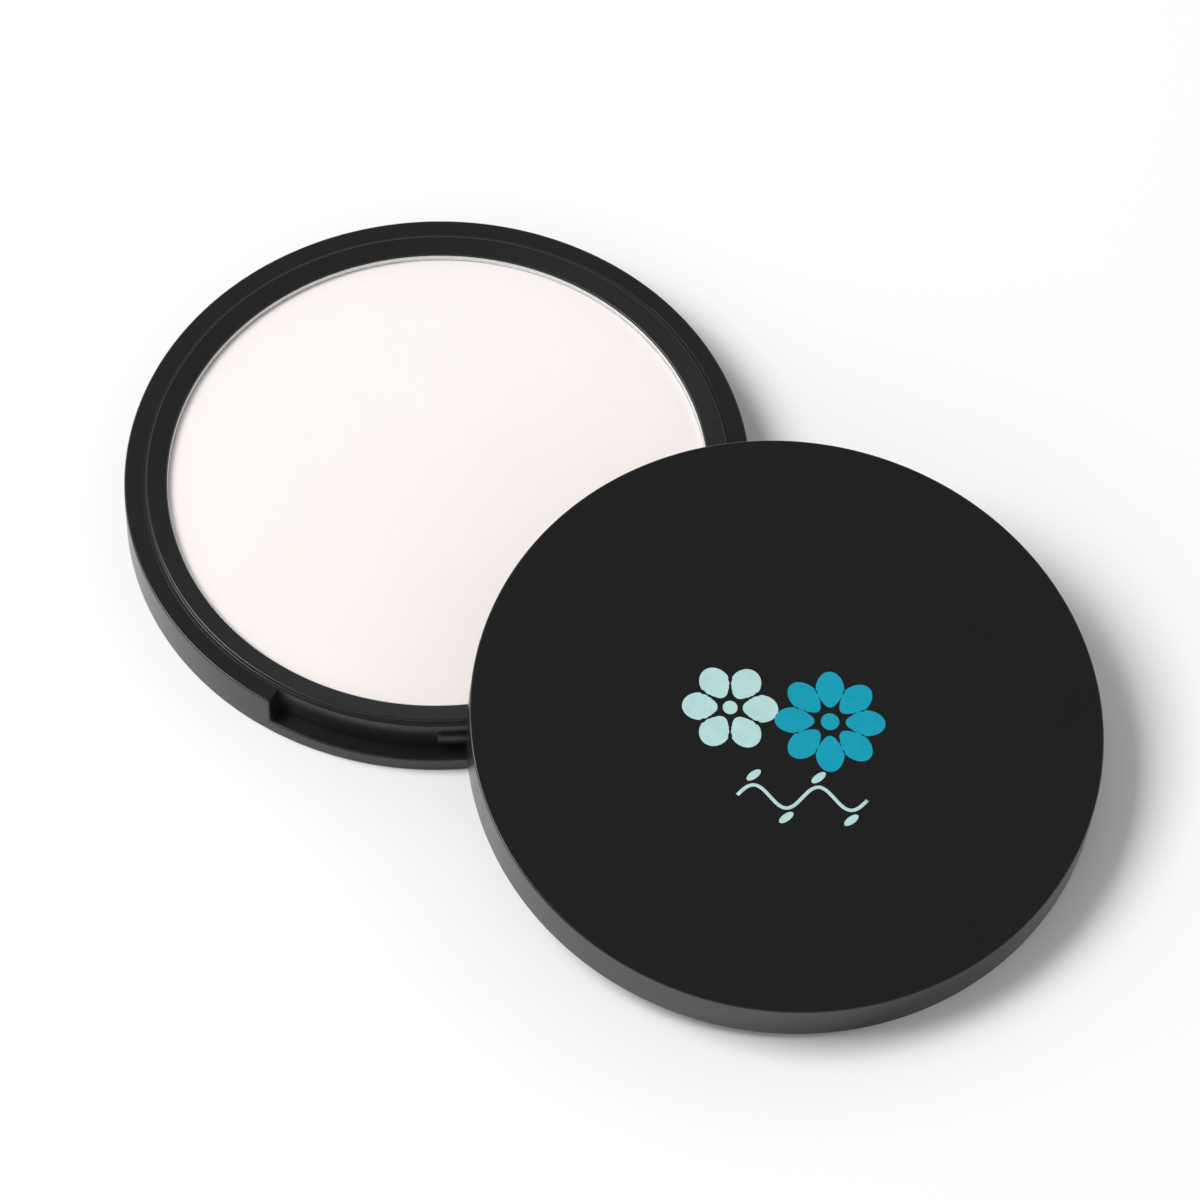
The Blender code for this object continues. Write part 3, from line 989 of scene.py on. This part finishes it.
def black_plastic(name, grey, smoothest, roughest, grain_depth):
    """Satin black plastic with its grain and its slow patches of gloss."""
    material = new_finish(name, (grey, grey, grey * BLUE_TINT), (smoothest + roughest) / 2)
    shader = material.node_tree.nodes["Principled BSDF"]
    shader.inputs["Specular IOR Level"].default_value = PLASTIC_SHINE
    patches = add_noise(material, FLOW_PATCH)
    grain = add_noise(material, MOULD_GRAIN, detail=2.0)
    darker = (grey * (1 - GREY_SHIFT),) * 3
    lighter = (grey * (1 + GREY_SHIFT),) * 3
    vary_colour(material, grain, darker, lighter)
    vary_roughness(material, patches, smoothest, roughest)
    emboss(material, grain, grain_depth)
    return material


wear_finish(case, black_plastic("satin_case", 0.0105, 0.22, 0.27, grain_depth=0.004 * MM))
wear_finish(collar, black_plastic("satin_collar", 0.0110, 0.22, 0.27, grain_depth=0.004 * MM))
wear_finish(lid, black_plastic("satin_lid", 0.0082, 0.22, 0.26, grain_depth=0.003 * MM))
wear_finish(frame_ring, black_plastic("matte_frame", 0.0100, 0.44, 0.54, grain_depth=0.006 * MM))

# %% [markdown]
# ## Drawn aluminium
#
# The punch drags the sheet as it draws the wall, which leaves fine lines up the wall, and the
# rolled sheet has its own faint grain. The lines are noise that is squeezed across and stretched
# along Z. The metal is bright but not a mirror.

# %% Make the aluminium
aluminium = new_finish("drawn_aluminium", (0.75, 0.75, 0.76), 0.50, metallic=1.0)
draw_lines = add_noise(aluminium, size=0.25 * MM, stretch=(1.0, 1.0, 0.08))
sheet_grain = add_noise(aluminium, size=0.6 * MM, detail=4.0)
vary_colour(aluminium, sheet_grain, dark=(0.70, 0.70, 0.71), light=(0.80, 0.80, 0.81))
vary_roughness(aluminium, draw_lines, low=0.42, high=0.58)
emboss(aluminium, draw_lines, depth=0.004 * MM)
wear_finish(pan, aluminium)

# %% [markdown]
# ## Pressed powder
#
# Powder is fully matte, and light seeps about half a millimetre into it, which softens the
# shadow along its edge. Two sizes of grain make its relief: single clumps of about a sixth of a
# millimetre, and the soft unevenness that the pressing cloth leaves. Its colour wanders a little
# between a darker and a lighter pink white, as milled powder does.

# %% Make the powder
powder = new_finish("pale_pink_powder", (0.90, 0.835, 0.81), 0.95)
clumps = add_noise(powder, size=0.16 * MM, detail=6.0)
cloth_marks = add_noise(powder, size=1.6 * MM, detail=3.0)
clouds = add_noise(powder, size=14.0 * MM, detail=2.0)
vary_colour(powder, clouds, dark=(0.885, 0.828, 0.800), light=(0.912, 0.842, 0.822))
emboss(powder, cloth_marks, depth=0.02 * MM)
emboss(powder, clumps, depth=0.012 * MM)
powder_shader = powder.node_tree.nodes["Principled BSDF"]
powder_shader.inputs["Specular IOR Level"].default_value = 0.2
powder_shader.inputs["Subsurface Weight"].default_value = 0.7
powder_shader.inputs["Subsurface Radius"].default_value = (1.0, 0.9, 0.85)
powder_shader.inputs["Subsurface Scale"].default_value = 0.6 * MM
wear_finish(cake, powder)

# %% [markdown]
# ## Silvered glass
#
# The mirror is silvered glass, almost perfect, with the faintest haze. Its back, its rim and the
# chamfer behind are painted, so those faces get a second material. The side that is seen when the
# lid is used looks down in the lid's frame, and the faces are told apart by that direction.

# %% Make the mirror's two finishes
silvered = new_finish("silvered_glass", (0.90, 0.92, 0.92), 0.03, metallic=1.0)
haze = add_noise(silvered, size=5.0 * MM)
vary_roughness(silvered, haze, low=0.015, high=0.05)
wear_finish(mirror, silvered)

backing = new_finish("mirror_backing_paint", (0.30, 0.31, 0.32), 0.6)
paint_grain = add_noise(backing, size=0.2 * MM)
vary_colour(backing, paint_grain, dark=(0.26, 0.27, 0.28), light=(0.34, 0.35, 0.36))
emboss(backing, paint_grain, depth=0.01 * MM)
mirror.data.materials.append(backing)
towards_user = -LID_FRAME.to_3x3().col[2]
for face in mirror.data.polygons:
    face.material_index = 0 if face.normal.dot(towards_user) > 0.5 else 1
painted = sum(face.material_index for face in mirror.data.polygons)
print("painted faces", painted, "of", len(mirror.data.polygons))

# %% [markdown]
# ## Foam and glue
#
# Both are out of sight, so each gets only what makes it itself. The foam is white and matt, and
# shows its cells, which are a fifth of a millimetre across. The set glue is half clear and
# slightly wavy, and its gloss comes and goes.

# %% Make the foam and the glue
foam = new_finish("white_foam", (0.85, 0.85, 0.83), 0.8)
cells = add_noise(foam, size=0.2 * MM, detail=2.0)
vary_colour(foam, cells, dark=(0.76, 0.76, 0.73), light=(0.88, 0.88, 0.86))
emboss(foam, cells, depth=0.05 * MM)
wear_finish(pad, foam)

clear_glue = new_finish("set_clear_glue", (0.80, 0.78, 0.72), 0.2)
clear_glue.node_tree.nodes["Principled BSDF"].inputs["Transmission Weight"].default_value = 0.5
waves = add_noise(clear_glue, size=2.5 * MM)
emboss(clear_glue, waves, depth=0.05 * MM)
dull_spots = add_noise(clear_glue, size=1.0 * MM)
vary_roughness(clear_glue, dull_spots, low=0.12, high=0.3)
wear_finish(glue, clear_glue)

# %% [markdown]
# ## Printing ink
#
# Screen ink dries satin, with the weave of the screen just showing as a fine even relief, and it
# lies a little thicker in some places than in others, which shifts its colour slightly.

# %% Make the inks
INK_SHINE = 0.3
INK_SHIFT = 0.05  # of the colour, either way


def ink(name, colour):
    """A printed colour with a little unevenness."""
    material = new_finish(name, colour, 0.45)
    shader = material.node_tree.nodes["Principled BSDF"]
    shader.inputs["Specular IOR Level"].default_value = INK_SHINE
    weave = add_noise(material, size=0.10 * MM, detail=1.0)
    thickness = add_noise(material, size=1.2 * MM)
    thick = [(1 - INK_SHIFT) * c for c in colour]
    thin = [(1 + INK_SHIFT) * c for c in colour]
    vary_colour(material, thickness, dark=thick, light=thin)
    vary_roughness(material, weave, low=0.4, high=0.55)
    emboss(material, weave, depth=0.003 * MM)
    return material


pale_ink = ink("pale_aqua_ink", (0.43, 0.66, 0.65))
teal_ink = ink("teal_ink", (0.001, 0.31, 0.44))
wear_finish(pale_blossom, pale_ink)
wear_finish(stem, pale_ink)
wear_finish(leaves, pale_ink)
wear_finish(teal_blossom, teal_ink)

# %% [markdown]
# ## The table
#
# The compact lies on a plain white table, which is a big matt plane. It is kept free of shine, so
# that nothing shows on it but the shadows. It is no part of the compact, so it is staged.

# %% Lay the table
TABLE_SIZE = 6.0

bpy.ops.object.select_all(action="DESELECT")
bpy.ops.mesh.primitive_plane_add(size=TABLE_SIZE, location=(0.0, 0.0, 0.0))
floor = bpy.context.object
floor.name = "table_top"
table_white = new_finish("table_white", (0.93, 0.93, 0.93), 0.8)
table_white.node_tree.nodes["Principled BSDF"].inputs["Specular IOR Level"].default_value = 0.0
wear_finish(floor, table_white)

# %% [markdown]
# ## The sky
#
# A sky all round fills the shadows. Black plastic shows what it reflects: its flat tops mirror the
# sky high up, and its walls mirror the table. So the sky is dim overhead, which keeps the tops
# deep black, and bright low down. The Z part of a direction is the sine of its elevation, and it
# fades the one brightness into the other.

# %% Make the sky
SKY_LOW = 1.1  # brightness up to SKY_LOW_END
SKY_HIGH = 0.19  # brightness from SKY_HIGH_START to straight up
SKY_LOW_END = 0.30  # both as the sine of the elevation
SKY_HIGH_START = 0.80

world = bpy.data.worlds.new("studio")
bpy.context.scene.world = world
world.use_nodes = True
sky_nodes, sky_links = world.node_tree.nodes, world.node_tree.links
direction = sky_nodes.new("ShaderNodeTexCoord")
direction_parts = sky_nodes.new("ShaderNodeSeparateXYZ")
fade = sky_nodes.new("ShaderNodeMapRange")
fade.interpolation_type = "SMOOTHSTEP"
fade.inputs["From Min"].default_value = SKY_LOW_END
fade.inputs["From Max"].default_value = SKY_HIGH_START
fade.inputs["To Min"].default_value = SKY_LOW
fade.inputs["To Max"].default_value = SKY_HIGH
sky = sky_nodes["Background"]
sky.inputs["Color"].default_value = (1.0, 1.0, 1.0, 1.0)
sky_links.new(direction.outputs["Generated"], direction_parts.inputs["Vector"])
sky_links.new(direction_parts.outputs["Z"], fade.inputs["Value"])
sky_links.new(fade.outputs["Result"], sky.inputs["Strength"])
print("sky from", SKY_LOW, "low down to", SKY_HIGH, "overhead")

# %% [markdown]
# ## The key light
#
# One large soft light stands to the left and high up, and its size decides how soft the shadows
# are. It is placed by the direction that it comes from, and turned to face the compact. The
# Standard view keeps the white table white.

# %% Place the key light
KEY_TOWARDS = Vector((-0.62, 0.153, 0.769)).normalized()
KEY_DISTANCE = 1.3
KEY_SIZE = 0.70
KEY_POWER = 15.8

bpy.ops.object.light_add(type="AREA", location=KEY_TOWARDS * KEY_DISTANCE)
key = bpy.context.object
key.name = "soft_key"
key.data.size = KEY_SIZE
key.data.energy = KEY_POWER
key.rotation_euler = KEY_TOWARDS.to_track_quat("Z", "Y").to_euler()
bpy.context.scene.view_settings.view_transform = "Standard"
print("key light", round(math.degrees(math.asin(KEY_TOWARDS.z)), 1), "degrees above the table")

# %% [markdown]
# ## The camera
#
# The compact is seen with a long lens from a metre away, from above and slightly to the left. The
# camera is aimed at a point on the table between the case and the lid, and rolled by a hair.

# %% Place the camera
CAMERA_AZIMUTH = math.radians(-8.5)
CAMERA_ELEVATION = math.radians(57.04)
CAMERA_DISTANCE = 985.1 * MM
CAMERA_AIM = Vector((15.89, -14.89, 0.0)) * MM
CAMERA_ROLL = math.radians(0.23)
CAMERA_LENS = 269.0
SENSOR_WIDTH = 36.0

back = Vector(
    (
        math.sin(CAMERA_AZIMUTH) * math.cos(CAMERA_ELEVATION),
        -math.cos(CAMERA_AZIMUTH) * math.cos(CAMERA_ELEVATION),
        math.sin(CAMERA_ELEVATION),
    )
)
bpy.ops.object.camera_add(location=CAMERA_AIM + CAMERA_DISTANCE * back)
camera = bpy.context.object
camera.data.lens = CAMERA_LENS
camera.data.sensor_width = SENSOR_WIDTH
camera.data.clip_start = 0.05
camera.data.clip_end = 20.0
camera.rotation_mode = "QUATERNION"
roll = Quaternion((0.0, 0.0, 1.0), CAMERA_ROLL)
camera.rotation_quaternion = back.to_track_quat("Z", "Y") @ roll
bpy.context.scene.camera = camera
print("camera at", [round(1000 * c, 1) for c in camera.location], "mm")
